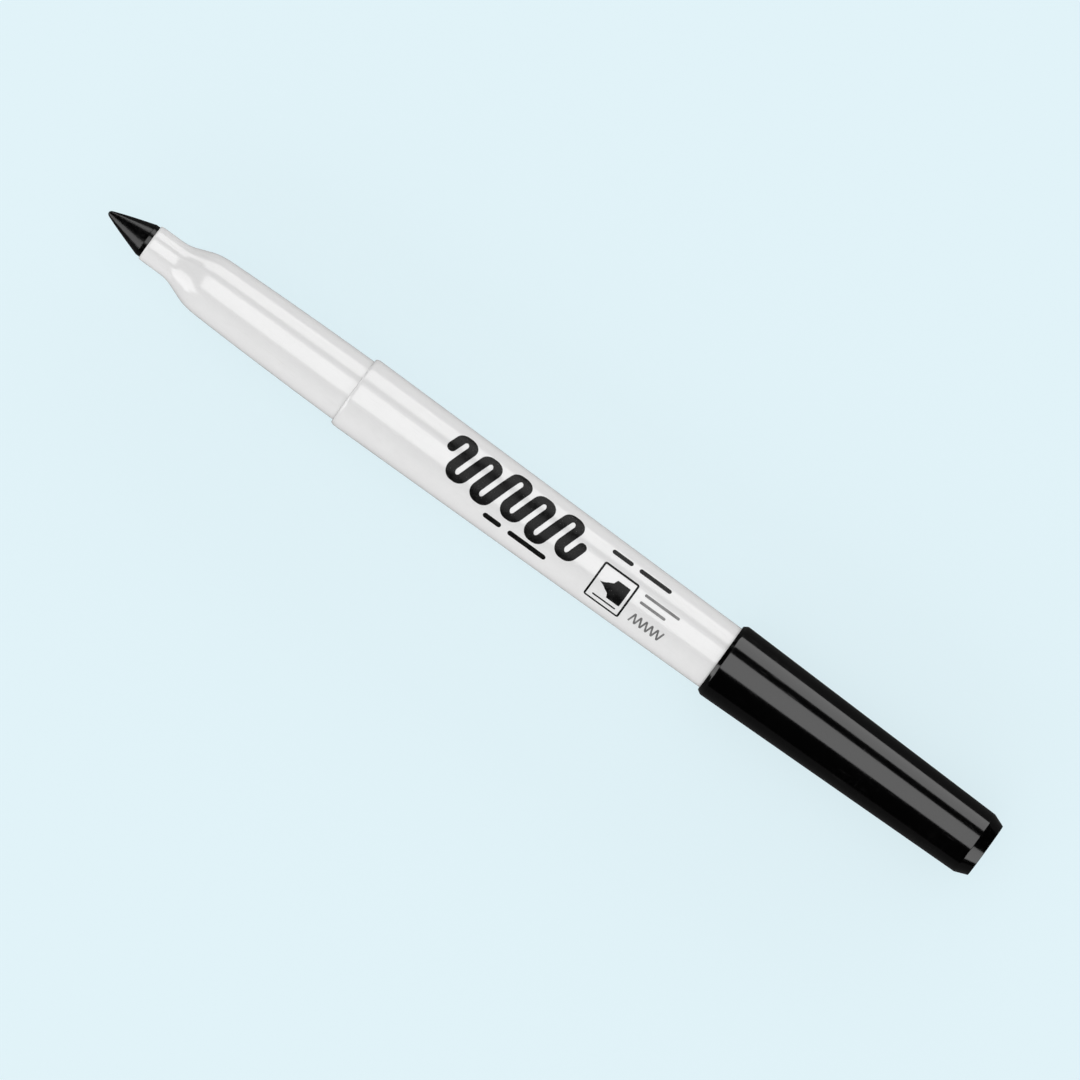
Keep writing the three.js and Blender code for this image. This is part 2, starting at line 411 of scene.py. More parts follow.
def rib_mask(radius, angle, count, thickness, flank=0.12):
    """1 on evenly spaced ribs of one thickness, and 0 between them: the distance across from the nearest
    rib's middle is the radius times the sine of the angle from it."""
    pitch = 2 * math.pi / count
    nearest = (angle % pitch) - pitch / 2
    return 1 - smooth_step(np.abs(radius * np.sin(nearest)), thickness / 2 - flank, thickness / 2 + flank)


# Materials


class Nodes:
    """Adds nodes and links to one node tree."""

    def __init__(self, tree):
        self.tree = tree

    def put(self, value, socket):
        """A value, or another node's output, goes into a socket."""
        if isinstance(value, bpy.types.NodeSocket):
            self.tree.links.new(value, socket)
        else:
            socket.default_value = value

    def feed(self, node, **sockets):
        """A value or another node's output for each of the node's sockets that is named."""
        for key, value in sockets.items():
            self.put(value, node.inputs[key.replace("_", " ")])

    def add(self, kind, settings=None, **sockets):
        """A node with its settings and with what its named sockets are fed."""
        node = self.tree.nodes.new(kind)
        for key, value in (settings or {}).items():
            setattr(node, key, value)
        self.feed(node, **sockets)
        return node

    def group(self, tree, **sockets):
        """The outputs of a shared effect."""
        return self.add("ShaderNodeGroup", {"node_tree": tree}, **sockets).outputs

    def bump(self, height, depth):
        """The normal of a surface whose height, of about 0 to 1, stands for so many millimetres."""
        node = self.add("ShaderNodeBump", Strength=1.0, Distance=depth * MM, Height=height)
        return node.outputs["Normal"]

    def math(self, operation, first, second=0.5):
        """The outcome of a sum, product or other operation on two values."""
        node = self.tree.nodes.new("ShaderNodeMath")
        node.operation = operation
        self.put(first, node.inputs[0])
        self.put(second, node.inputs[1])
        return node.outputs[0]

    def stretch(self, vector, factors):
        """The vector with each part multiplied by its own factor."""
        node = self.add("ShaderNodeVectorMath", {"operation": "MULTIPLY"})
        self.put(vector, node.inputs[0])
        self.put(factors, node.inputs[1])
        return node.outputs[0]

    def noise(self, vector, scale, detail=2.0, roughness=0.5):
        """A noise value from about 0 to 1, of which scale is the number of waves in a metre."""
        node = self.add(
            "ShaderNodeTexNoise", Vector=vector, Scale=scale, Detail=detail, Roughness=roughness
        )
        return node.outputs["Fac"]

    def ramp(self, value, low, high, out_low=0.0, out_high=1.0):
        """value taken from low..high to out_low..out_high, eased and held at both ends."""
        node = self.add(
            "ShaderNodeMapRange",
            {"interpolation_type": "SMOOTHSTEP"},
            Value=value,
            From_Min=low,
            From_Max=high,
            To_Min=out_low,
            To_Max=out_high,
        )
        return node.outputs["Result"]

    def mix(self, factor, first, second):
        """A colour between two colours."""
        node = self.tree.nodes.new("ShaderNodeMix")
        node.data_type = "RGBA"
        self.put(factor, node.inputs[0])
        self.put(first, node.inputs[6])
        self.put(second, node.inputs[7])
        return node.outputs[2]


def effect(name, inputs, outputs, build):
    """A shader node group: inputs are (name, default), outputs are names, and build(nodes, inputs)
    returns a value for each output. It is built once."""
    group = bpy.data.node_groups.get(name)
    if group:
        return group
    group = bpy.data.node_groups.new(name, "ShaderNodeTree")
    group.interface.new_socket("Vector", in_out="INPUT", socket_type="NodeSocketVector")
    for label, value in inputs:
        socket = group.interface.new_socket(label, in_out="INPUT", socket_type="NodeSocketFloat")
        socket.default_value = value
    for label in outputs:
        group.interface.new_socket(label, in_out="OUTPUT", socket_type="NodeSocketFloat")
    nodes = Nodes(group)
    entry = group.nodes.new("NodeGroupInput")
    values = build(nodes, entry.outputs)
    leave = group.nodes.new("NodeGroupOutput")
    for label, value in zip(outputs, values):
        group.links.new(value, leave.inputs[label])
    return group


def scuffs():
    """Fine handling scratches, along the piece and round it, that gather in patches, and patchy wear on
    edges."""

    def build(nodes, given):
        along = nodes.stretch(given["Vector"], (260.0, 5200.0, 5200.0))
        across = nodes.stretch(given["Vector"], (6400.0, 520.0, 520.0))
        lines_along = nodes.ramp(nodes.noise(along, 1.0, 3.0, 0.6), 0.60, 0.70)
        lines_across = nodes.ramp(nodes.noise(across, 1.0, 3.0, 0.6), 0.62, 0.72)
        patches = nodes.ramp(nodes.noise(given["Vector"], given["Patch Scale"], 3.0, 0.6), 0.42, 0.62)
        lines = nodes.math("MULTIPLY", nodes.math("MAXIMUM", lines_along, lines_across), patches)
        wear_scale = nodes.math("MULTIPLY", given["Patch Scale"], 9.0)
        rubbed = nodes.ramp(nodes.noise(given["Vector"], wear_scale), 0.35, 0.65)
        worn = nodes.math("MULTIPLY", given["Edge"], rubbed)
        return [nodes.math("MAXIMUM", lines, worn)]

    return effect("Scuffs", [("Patch Scale", 120.0), ("Edge", 0.0)], ["Mask"], build)


def moulded_skin():
    """The faint unevenness of a moulded surface: a slow waviness and a fine grain in its height, and a
    mottle."""

    def build(nodes, given):
        wave = nodes.noise(given["Vector"], given["Wave Scale"], 1.0, 0.4)
        grain = nodes.noise(given["Vector"], given["Grain Scale"])
        height = nodes.math("ADD", wave, nodes.math("MULTIPLY", grain, 0.25))
        mottle = nodes.noise(given["Vector"], nodes.math("MULTIPLY", given["Wave Scale"], 1.7), 4.0, 0.6)
        return [height, mottle]

    return effect(
        "Moulded Skin",
        [("Wave Scale", 260.0), ("Grain Scale", 3800.0)],
        ["Height", "Mottle"],
        build,
    )


def fibre_streaks():
    """Fibres that run along the marker: noise drawn out along X, coarse and fine together."""

    def build(nodes, given):
        drawn_out = nodes.stretch(given["Vector"], (0.06, 1.0, 1.0))
        coarse = nodes.noise(drawn_out, given["Fibre Scale"], 2.0, 0.55)
        fine = nodes.noise(drawn_out, nodes.math("MULTIPLY", given["Fibre Scale"], 3.1), 2.0, 0.6)
        return [nodes.math("ADD", nodes.math("MULTIPLY", coarse, 0.65), nodes.math("MULTIPLY", fine, 0.35))]

    return effect("Fibre Streaks", [("Fibre Scale", 5200.0)], ["Streak"], build)


def new_material(name, roughness, ior=1.5, **constants):
    """A material with a Principled shader, and Object coordinates for its patterns."""
    material = bpy.data.materials.get(name) or bpy.data.materials.new(name)
    material.use_nodes = True
    material.node_tree.nodes.clear()
    nodes = Nodes(material.node_tree)
    shader = nodes.add("ShaderNodeBsdfPrincipled", Roughness=roughness, IOR=ior, **constants)
    nodes.add("ShaderNodeOutputMaterial", Surface=shader.outputs["BSDF"])
    place = nodes.add("ShaderNodeTexCoord").outputs["Object"]
    return material, nodes, shader, place


def plastic(name, colour, worn, roughness, worn_roughness, wave=0.0018, ior=1.5):
    """Moulded plastic: a mottled colour, a skin whose waves are so many millimetres high in the bump, and
    scuffs in patches, which have a worn colour and roughness."""
    material, nodes, shader, place = new_material(name, roughness, ior)
    skin = nodes.group(moulded_skin(), Vector=place)
    edge = nodes.add("ShaderNodeAttribute", {"attribute_name": "edge"}).outputs["Fac"]
    mask = nodes.group(scuffs(), Vector=place, Edge=edge)["Mask"]
    shade = [part * 0.98 for part in colour]
    mottled = nodes.mix(nodes.ramp(skin["Mottle"], 0.3, 0.7), (*colour, 1), (*shade, 1))
    scuffed = nodes.mix(nodes.math("MULTIPLY", mask, SCUFF_TINT), mottled, (*worn, 1))
    dull = nodes.ramp(skin["Mottle"], 0.25, 0.75, roughness * 0.88, roughness * 1.12)
    duller = nodes.math("ADD", dull, nodes.math("MULTIPLY", mask, worn_roughness - roughness))
    dented = nodes.math("SUBTRACT", skin["Height"], nodes.math("MULTIPLY", mask, SCUFF_DEPTH))
    nodes.feed(shader, Base_Color=scuffed, Roughness=duller, Normal=nodes.bump(dented, wave))
    return material


def white_plastic():
    """The barrel and the nose section: semi-gloss white, with hardly any marks."""
    colour = tuple(bpy.context.scene.marker_colours.body)
    worn = (0.70, 0.70, 0.69)
    return plastic("White Plastic", colour, worn, roughness=0.155, worn_roughness=0.30, ior=1.6)


def black_plastic():
    """The cap and the end plug: glossy black, whose scuffs show grey."""
    colour = tuple(bpy.context.scene.marker_colours.cap)
    worn = (0.010, 0.010, 0.010)
    return plastic("Black Plastic", colour, worn, roughness=0.12, worn_roughness=0.22, wave=0.0014)


def natural_plastic():
    """The inner cap and the breather tube: uncoloured, soft and waxy."""
    colour = tuple(bpy.context.scene.marker_colours.natural)
    worn = (0.60, 0.62, 0.58)
    return plastic("Natural Plastic", colour, worn, roughness=0.42, worn_roughness=0.55, wave=0.004)


def clear_film():
    """The film round the reservoir: thin, pale and see-through, with a slow waviness."""
    material, nodes, shader, place = new_material("Clear Film", 0.16, 1.5, Alpha=0.35)
    skin = nodes.group(moulded_skin(), Vector=place, Wave_Scale=520.0)
    tint = nodes.mix(skin["Mottle"], (0.74, 0.77, 0.78, 1), (0.66, 0.70, 0.72, 1))
    nodes.feed(shader, Base_Color=tint, Normal=nodes.bump(skin["Height"], 0.02))
    return material


def inked_fibre(name, fibre_scale, depth, roughness, fleck, ior=1.5):
    """Bonded fibre soaked with ink: streaks along the marker in the bump, whose depth is in millimetres,
    in the roughness, and in the colour, which goes from the ink's to the fleck's."""
    ink = tuple(bpy.context.scene.marker_colours.ink)
    material, nodes, shader, place = new_material(name, roughness, ior)
    streak = nodes.group(fibre_streaks(), Vector=place, Fibre_Scale=fibre_scale)["Streak"]
    tone = nodes.mix(nodes.ramp(streak, 0.48, 0.70), (*ink, 1), (*fleck, 1))
    dull = nodes.ramp(streak, 0.35, 0.65, roughness * 0.8, roughness * 1.25)
    nodes.feed(shader, Base_Color=tone, Roughness=dull, Normal=nodes.bump(streak, depth))
    return material


def printed_ink(name, colour, gloss):
    """Screen-printed ink: a satin film with tiny pinholes of the white below, denser in some patches."""
    material, nodes, shader, place = new_material(name, 0.28, Specular_IOR_Level=gloss)
    dots = nodes.noise(place, 9000.0)
    pinholes = nodes.ramp(dots, 0.70, 0.78, 0.0, 0.5)
    uneven = nodes.ramp(nodes.noise(place, 900.0, 3.0, 0.6), 0.3, 0.7)
    thin = tuple(part * 1.5 + 0.002 for part in colour)
    inked = nodes.mix(uneven, (*colour, 1), (*thin, 1))
    pitted = nodes.mix(pinholes, inked, (0.55, 0.55, 0.55, 1))
    dull = nodes.ramp(uneven, 0.0, 1.0, 0.24, 0.34)
    nodes.feed(shader, Base_Color=pitted, Roughness=dull, Normal=nodes.bump(dots, 0.002))
    return material


# Pieces


class MARKER_OT_nib(Operator):
    """Add the ground fibre nib, with its shank and the tail that draws ink"""

    bl_idname = "marker.add_nib"
    bl_label = "Nib"

    def execute(self, context):
        base = COLLAR_FRONT - PRESS_GAP
        land = base - 0.75
        radius = nominal_radius("nib")
        outline = [
            (0.0, 0.0),
            (0.0, 0.31, 0.3, 0.45),
            (2.4, 1.23, 2.0, 2.6),
            (land, radius - 0.05, 0.14),
            (land + 0.14, radius, 0.08, 0.1),
            (base, radius, 0.06),
            (base, NIB_SHANK_RADIUS),
            (13.0, NIB_SHANK_RADIUS, 0.2),
            (14.0, NIB_TAIL_RADIUS, 0.2),
            (NIB_TAIL_REAR - 0.5, NIB_TAIL_RADIUS, 0.1),
            (NIB_TAIL_REAR, NIB_TAIL_RADIUS - 0.5, 0.1),
            (NIB_TAIL_REAR, 0.0),
        ]
        fleck = (0.006, 0.006, 0.006)
        fibre = inked_fibre(
            "Nib Fibre", fibre_scale=6200.0, depth=0.012, roughness=0.18, fleck=fleck, ior=1.43
        )
        nib = surface("fibre_nib", [turned_grid(outline, TIP)], fibre, "pen")
        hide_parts("nib")
        return {"FINISHED"}


class MARKER_OT_body(Operator):
    """Add the white nose section and the white barrel"""

    bl_idname = "marker.add_body"
    bl_label = "Nose Section and Barrel"

    def execute(self, context):
        white = white_plastic()
        self.nose_section(context.scene.marker_sizes, white)
        self.barrel(context.scene.marker_sizes, white)
        return {"FINISHED"}

    def nose_section(self, sizes, white):
        """Collar, flare, taper and ribbed spigot, with four fins inside the flare that stop the
        reservoir."""
        stop = BARREL_FRONT - 0.006  # the two pieces meet in a hairline
        bore = 4.15
        nib_bore = NIB_SHANK_RADIUS + PRESS_GAP
        section = sizes.section_rear / 2 / MM
        spigot = SOCKET_RADIUS - 2 * PRESS_GAP
        fin_front = 16.6
        fin_tip = 2.75
        ribs = []
        for front in (44.0, 48.0):
            ribs += [(front, spigot), (front + 0.3, spigot + PRESS_GAP, 0.1)]
            ribs += [(front + 0.9, spigot + PRESS_GAP, 0.1), (front + 1.2, spigot)]
        outline = [
            (COLLAR_FRONT, nib_bore, 0.04),
            (COLLAR_FRONT, COLLAR_RADIUS, 0.22, 0.4),
            (11.77, COLLAR_RADIUS, 0.97, 1.04),
            (16.08, 4.42, 1.42, 1.92),
            (29.0, 4.86, 10.9, 12.6),
            (stop, section, 0.04),
            (stop, spigot, 0.04),
            *ribs,
            (SPIGOT_REAR - 0.5, spigot, 0.1),
            (SPIGOT_REAR, spigot - 0.25, 0.1),
            (SPIGOT_REAR, bore, 0.06),
            (21.5, bore, 0.5),
            (18.5, 3.75, 0.5),
            (fin_front + 0.35, 3.42),
            (fin_front, 3.34),
            (14.8, 2.95, 0.5),
            (12.9, nib_bore, 0.3),
        ]

        def finned(x, radius, angle):
            rear = RESERVOIR_FRONT - 0.2
            inside = smooth_step(x, fin_front, fin_front + 0.35)
            inside *= 1 - smooth_step(x, rear - 0.3, rear)
            inside *= (radius < bore + 0.01) * (radius > fin_tip)
            fin = rib_mask(np.full_like(radius, bore), angle, 4, 0.7)
            return radius + (fin_tip - radius) * inside * fin

        grid = turned_grid(outline, TIP, closed=True, shape=finned)
        nose = surface("nose_section_shell", [grid], white, "pen", closed=True)
        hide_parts("nose_section")

    def barrel(self, sizes, white):
        """A tapered tube with a soft front edge, and six ribs in its bore that hold the reservoir off the
        wall."""
        front = sizes.barrel_front / 2 / MM
        rear = sizes.barrel_rear / 2 / MM
        wall = 0.9
        bore_front = SPIGOT_REAR + 1.0
        bore_rear = RESERVOIR_REAR - 0.8
        rib_inner = nominal_radius("reservoir_wrap") + 0.1
        rib_front = bore_front + 3.0
        rib_rear = bore_rear - 1.5
        rib_run = 0.8  # length over which a rib rises and falls
        outline = [
            (BARREL_FRONT, SOCKET_RADIUS, 0.06),
            (BARREL_FRONT, front, 0.36, BARREL_EDGE),
            (BARREL_REAR, rear, 0.5),
            (BARREL_REAR, PLUG_SEAT_RADIUS + 0.08, 0.06),
            (BARREL_REAR - 0.3, PLUG_SEAT_RADIUS, 0.1),
            (bore_rear + 0.6, PLUG_SEAT_RADIUS, 0.1),
            (bore_rear, rear - wall + 0.26, 0.1),
            (rib_rear, rear - wall + 0.26, 0.05),
            (rib_rear - rib_run, rear - wall + 0.27, 0.05),
            (rib_front + rib_run, front - wall - 0.11, 0.05),
            (rib_front, front - wall - 0.1, 0.05),
            (bore_front + 0.4, front - wall - 0.08, 0.1),
            (bore_front, SOCKET_RADIUS, 0.1),
        ]

        def ribbed(x, radius, angle):
            inside = smooth_step(x, rib_front, rib_front + rib_run)
            inside *= 1 - smooth_step(x, rib_rear - rib_run, rib_rear)
            inside *= radius < barrel_radius(x) - wall / 2
            rib = rib_mask(radius, angle, 6, 0.6)
            return radius + (rib_inner - radius) * inside * rib

        grid = turned_grid(outline, TIP, closed=True, shape=ribbed)
        tube = surface("barrel_tube", [grid], white, "pen", closed=True)
        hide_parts("barrel")


def barrel_radius(x):
    """The barrel's outer radius at a station: it falls evenly from the front edge to the rear edge."""
    sizes = bpy.context.scene.marker_sizes
    front = sizes.barrel_front / 2 / MM
    rear = sizes.barrel_rear / 2 / MM
    return front + (rear - front) * (x - BARREL_FRONT) / (BARREL_REAR - BARREL_FRONT)


class MARKER_OT_end_plug(Operator):
    """Add the cup-shaped plug that closes the rear of the barrel"""

    bl_idname = "marker.add_end_plug"
    bl_label = "End Plug"

    def execute(self, context):
        flange = BARREL_REAR + PRESS_GAP
        skirt = PLUG_SEAT_RADIUS - 2 * PRESS_GAP
        ribs = []
        for front in (PLUG_FRONT + 2.0, PLUG_FRONT + 5.0):
            ribs += [(front, skirt), (front + 0.2, skirt + PRESS_GAP), (front + 0.7, skirt + PRESS_GAP)]
            ribs += [(front + 0.9, skirt)]
        outline = [
            (flange - 0.8, 0.0),
            (flange - 0.8, 3.0, 0.1),
            (flange - 1.0, 3.2, 0.1),
            (PLUG_FRONT, 3.2, 0.06),
            (PLUG_FRONT, skirt - 0.3, 0.06),
            (PLUG_FRONT + 0.8, skirt, 0.1),
            *ribs,
            (flange, skirt),
            (flange, 4.35, 0.06),
            (PLUG_REAR, 4.35, 0.3),
            (PLUG_REAR, 1.3, 0.06),
            (PLUG_REAR - 0.12, 1.15, 0.06),
            (PLUG_REAR - 0.12, 0.32, 0.04),
            (PLUG_REAR - 0.03, 0.24, 0.05),
            (PLUG_REAR - 0.03, 0.0),
        ]
        plug = surface("end_plug_cup", [turned_grid(outline, TIP)], black_plastic(), "pen")
        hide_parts("end_plug")
        return {"FINISHED"}


class MARKER_OT_ink_store(Operator):
    """Add the fibre reservoir, the film round it and the breather tube in its groove"""

    bl_idname = "marker.add_ink_store"
    bl_label = "Ink Store"

    def execute(self, context):
        self.core()
        self.wrap()
        self.breather()
        return {"FINISHED"}

    def core(self):
        """A rod with a hole for the nib's tail, and a groove with a round floor for the breather tube."""
        rod = nominal_radius("reservoir_core")
        hole = NIB_TAIL_RADIUS + 0.05
        tube = 0.61
        outline = [
            (31.0, 0.0),
            (31.0, hole),
            (RESERVOIR_FRONT, hole, 0.08),
            (RESERVOIR_FRONT, rod, 0.15),
            (RESERVOIR_REAR, rod, 0.15),
            (RESERVOIR_REAR, 0.0),
        ]

        def grooved(x, radius, angle):
            across = BREATHER_HEIGHT * np.sin(angle)
            reach = np.sqrt(np.maximum(tube**2 - across**2, 0))
            floor = np.maximum(BREATHER_HEIGHT * np.cos(angle) - reach, 2.0)
            opened = (np.abs(rod * np.sin(angle)) < tube) & (np.cos(angle) > 0)
            return np.where(opened, np.minimum(radius, floor), radius)

        fleck = (0.016, 0.016, 0.018)
        fibre = inked_fibre(
            "Reservoir Fibre", fibre_scale=3200.0, depth=0.05, roughness=0.85, fleck=fleck
        )
        grid = turned_grid(outline, TIP, shape=grooved)
        core = surface("reservoir_fibre", [grid], fibre, "pen")
        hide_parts("reservoir_core")

    def wrap(self):
        """A thin film tube, open at both ends."""
        outer = nominal_radius("reservoir_wrap")
        inner = outer - 0.12
        outline = [(WRAP_FRONT, inner), (WRAP_FRONT, outer), (WRAP_REAR, outer), (WRAP_REAR, inner)]
        grid = turned_grid(outline, TIP, closed=True)
        film = surface("reservoir_film", [grid], clear_film(), "pen", closed=True)
        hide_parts("reservoir_wrap")

    def breather(self):
        """A thin straw beside the axis."""
        outer = 0.55
        inner = 0.32
        outline = [
            (BREATHER_FRONT, inner, 0.05),
            (BREATHER_FRONT, outer, 0.05),
            (BREATHER_REAR, outer, 0.05),
            (BREATHER_REAR, inner, 0.05),
        ]
        grid = turned_grid(outline, TIP, closed=True, sides=32)
        grid[..., 2] += BREATHER_HEIGHT * MM
        straw = surface("breather_straw", [grid], natural_plastic(), "pen", closed=True)
        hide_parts("breather_tube")


class MARKER_OT_cap(Operator):
    """Add the black cap and the soft inner cap that seals round the collar"""

    bl_idname = "marker.add_cap"
    bl_label = "Cap"

    def execute(self, context):
        self.shell(context.scene.marker_sizes)
        self.liner()
        return {"FINISHED"}

    def shell(self, sizes):
        """A tapered shell with a bevelled mouth, a grip bead inside it, and a bevelled end with a gate
        mark."""
        mouth = sizes.cap_mouth / 2 / MM
        end = sizes.cap_end / 2 / MM
        inside = CAP_LENGTH - 1.1
        bevel = CAP_LENGTH - 1.85
        outline = [
            (inside, 0.0),
            (inside, 4.05, 0.05),
            (inside - 0.3, 4.24, 0.05),
            (28.0, 4.55, 0.5),
            (24.0, 4.63, 0.5),
            (16.0, 4.92, 0.5),
            (4.0, 5.04, 0.3),
            (3.0, 4.96, 0.5),
            (2.0, 5.05, 0.3),
            (0.5, 5.07, 0.1),
            (0.0, 5.2, 0.05),
            (0.0, 5.36, 0.06),
            (0.62, mouth, 0.12, 0.25),
            (bevel, end, 0.07),
            (CAP_LENGTH, 4.15, 0.07),
            (CAP_LENGTH, 0.62, 0.06),
            (CAP_LENGTH - 0.1, 0.5, 0.06),
            (CAP_LENGTH - 0.1, 0.22, 0.05),
            (CAP_LENGTH - 0.02, 0.16, 0.05),
            (CAP_LENGTH - 0.02, 0.0),
        ]
        grid = turned_grid(outline, MOUTH)
        shell = surface("cap_body", [grid], black_plastic(), "cap")
        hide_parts("cap_shell")

    def liner(self):
        """A cup with a locating flange and disc, and a bead in its mouth that seals on the collar."""
        tube = 3.55
        bore = 3.0
        seal = COLLAR_RADIUS + 0.05
        outline = [
            (LINER_REAR - 0.8, 0.0),
            (LINER_REAR - 0.8, 2.7, 0.2),
            (LINER_REAR - 1.2, bore, 0.2),
            (LINER_FRONT + 2.9, bore, 0.2),
            (LINER_FRONT + 2.1, seal, 0.35),
            (LINER_FRONT + 1.5, bore + 0.05, 0.2),
            (LINER_FRONT, 3.9, 0.08),
            (LINER_FRONT, 4.46, 0.1),
            (LINER_FRONT + 1.1, 4.44, 0.1),
            (LINER_FRONT + 1.1, tube, 0.1),
            (LINER_REAR - 1.1, tube, 0.1),
            (LINER_REAR - 1.1, 4.18, 0.08),
            (LINER_REAR, 4.02, 0.1),
            (LINER_REAR, 0.0),
        ]
        grid = turned_grid(outline, MOUTH)
        liner = surface("inner_cap_cup", [grid], natural_plastic(), "cap")
        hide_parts("inner_cap")


# Print


def ink_film(line, half_width, closed=False, across=17):
    """The grid of an ink film along a line on the barrel.

    line is rows of (station, distance round the barrel from its top, towards -Y), and half_width is the
    film's half width at each row. The section is a flat loop whose top lies the ink's thickness above the
    barrel and whose bottom is bedded in it. A point's angle is its distance round the barrel over the
    barrel's radius there.
    """
    step = np.roll(line, -1, axis=0) - np.roll(line, 1, axis=0) if closed else np.gradient(line, axis=0)
    step /= np.linalg.norm(step, axis=1, keepdims=True)
    normal = np.stack([-step[:, 1], step[:, 0]], axis=-1)
    side = np.linspace(1, -1, across)
    offset = np.concatenate([side, side[::-1]])
    thickness = bpy.context.scene.marker_sizes.ink_film / MM
    height = np.concatenate([np.full(across, thickness), np.full(across, -PRINT_SINK)])
    height = height * np.sign(half_width)[:, None]
    spread = line[:, None] + normal[:, None] * (half_width[:, None] * offset)[..., None]
    radius = barrel_radius(spread[..., 0])
    return round_the_axis(spread[..., 0], radius + height, spread[..., 1] / radius, TIP)


def even_line(line, spacing):
    """The line with points at even distances along it, and the distance of each from the start."""
    run = np.concatenate([[0], np.cumsum(np.linalg.norm(np.diff(line, axis=0), axis=1))])
    along = np.linspace(0, run[-1], max(int(run[-1] / spacing), 8) + 1)
    return np.stack([np.interp(along, run, line[:, 0]), np.interp(along, run, line[:, 1])], axis=-1), along


def brush_stroke(line, half_width, thin=1.0, spacing=0.1):
    """The film of a stroke with half-round ends: within one half width of an end, the width is a
    circle's.

    Where the stroke runs along the marker its width is thin times as much as where it runs round it.
    """
    line, along = even_line(line, spacing)
    step = np.gradient(line, axis=0)
    half = half_width * (thin + (1 - thin) * np.abs(step[:, 1]) / np.linalg.norm(step, axis=1))
    to_end = np.minimum(along, along[-1] - along)
    share = np.clip(to_end / half, 0, 1)
    return ink_film(line, half * np.sqrt(1 - (1 - share) ** 2))


class MARKER_OT_print(Operator):
    """Add the print on the barrel: a bold scribble, short bars and a small nib sign, with no lettering"""

    bl_idname = "marker.add_print"
    bl_label = "Print"

    def execute(self, context):
        colours = context.scene.marker_colours
        black = printed_ink("Black Print", tuple(colours.print_ink), gloss=0.12)
        pale = printed_ink("Pale Print", tuple(colours.pale_print), gloss=0.3)
        self.film("print_scribble", [self.scribble()], black)
        self.film("print_bars_bold", self.bold_bars(), black)
        self.film("print_bars_pale", self.pale_bars(), pale)
        self.film("print_nib_sign", self.nib_sign(), black)
        self.film("print_sign_frame", [self.sign_frame()], black, closed=True)
        return {"FINISHED"}

    def film(self, name, grids, material, closed=False):
        """One printed mark, which rides on the pen."""
        surface(name, grids, material, "pen", closed)

    def scribble(self):
        """One back-and-forth stroke: slanted parallel runs, joined by half circles over their tops and
        under their bottoms. A half circle's points are its centre - r cos(t) n -/+ r sin(t) u, with u
        down the runs and n across them. A short run leads in from below, and another leads out
        upwards."""
        front = 56.9
        pitch = 2.3
        slant = math.radians(18)
        heights = np.array([-3.1, 0.5, -2.6, 1.0, -3.2, 0.4, -2.5, 0.9, -2.9, 0.3])
        down = np.array([-math.sin(slant), math.cos(slant)])
        across = np.array([math.cos(slant), math.sin(slant)])
        radius = pitch * math.cos(slant) / 2
        count = np.arange(len(heights))
        middle = np.stack([front + (count + 0.5) * pitch - math.tan(slant) * heights, heights], axis=-1)
        side = np.where(count % 2, 1, -1)
        lead = 2.4
        t = np.linspace(0, math.pi, 24)
        turns = (
            middle[:, None]
            - radius * np.cos(t)[:, None] * across
            + radius * side[:, None, None] * np.sin(t)[:, None] * down
        )
        first = turns[0, 0] + lead * down
        last = turns[-1, -1] - lead * down
        line = np.concatenate([[first], turns.reshape(-1, 2), [last]])
        return brush_stroke(line, half_width=0.72, thin=0.75)

    def bar(self, front, rear, distance, half_width):
        """A straight stroke along the marker, at a distance round the barrel from its top."""
        return brush_stroke(np.array([(front, distance), (rear, distance)]), half_width, spacing=0.05)

    def bold_bars(self):
        """Two bars under the scribble, and two in front of the cap."""
        return [
            self.bar(66.4, 69.4, 3.45, 0.42),
            self.bar(70.6, 77.0, 3.45, 0.42),
            self.bar(83.9, 87.4, -3.5, 0.38),
            self.bar(88.5, 93.9, -3.5, 0.38),
        ]

    def pale_bars(self):
        """Two thin bars beside the sign, and a sample of a thin written line: a wave of even pitch."""
        waves = 6
        pitch = 0.95
        height = 0.85
        corners = [
            (91.2 + step * pitch / 2, 2.8 + height * (-1) ** step, 0.3) for step in range(2 * waves)
        ]
        return [
            self.bar(91.1, 97.0, -0.9, 0.2),
            self.bar(91.1, 95.4, 0.3, 0.2),
            brush_stroke(rounded(corners)[0], 0.13, spacing=0.05),
        ]

    def sign_frame(self):
        """A thin square line round the sign."""
        front = 84.1
        rear = 89.7
        top = -1.4
        bottom = 4.3
        corners = [(front, top, 0.25), (rear, top, 0.25), (rear, bottom, 0.25), (front, bottom, 0.25)]
        loop = rounded(corners, closed=True)[0]
        line = even_line(np.concatenate([loop, loop[:1]]), 0.1)[0][:-1]
        return ink_film(line, np.full(len(line), 0.15), closed=True, across=5)

    def nib_sign(self):
        """A nib that points towards the marker's own, and the thin line that it draws.

        The nib is one film whose half width is the height of its upper outline. Its line creeps forward
        by a hair so that the flat rear end keeps a direction.
        """
        middle = 1.2
        creep = 1e-4
        corners = [(84.9, 0.0), (86.7, 0.85, 0.1), (86.95, 1.5, 0.1), (89.1, 1.5, 0.15), (89.1, 0.0)]
        outline = rounded(corners)[0]
        station = outline[:, 0] + np.linspace(0, creep, len(outline))
        line = np.stack([station, np.full(len(outline), middle)], axis=-1)
        return [ink_film(line, outline[:, 1]), self.bar(85.0, 88.9, 3.4, 0.12)]


# Studio


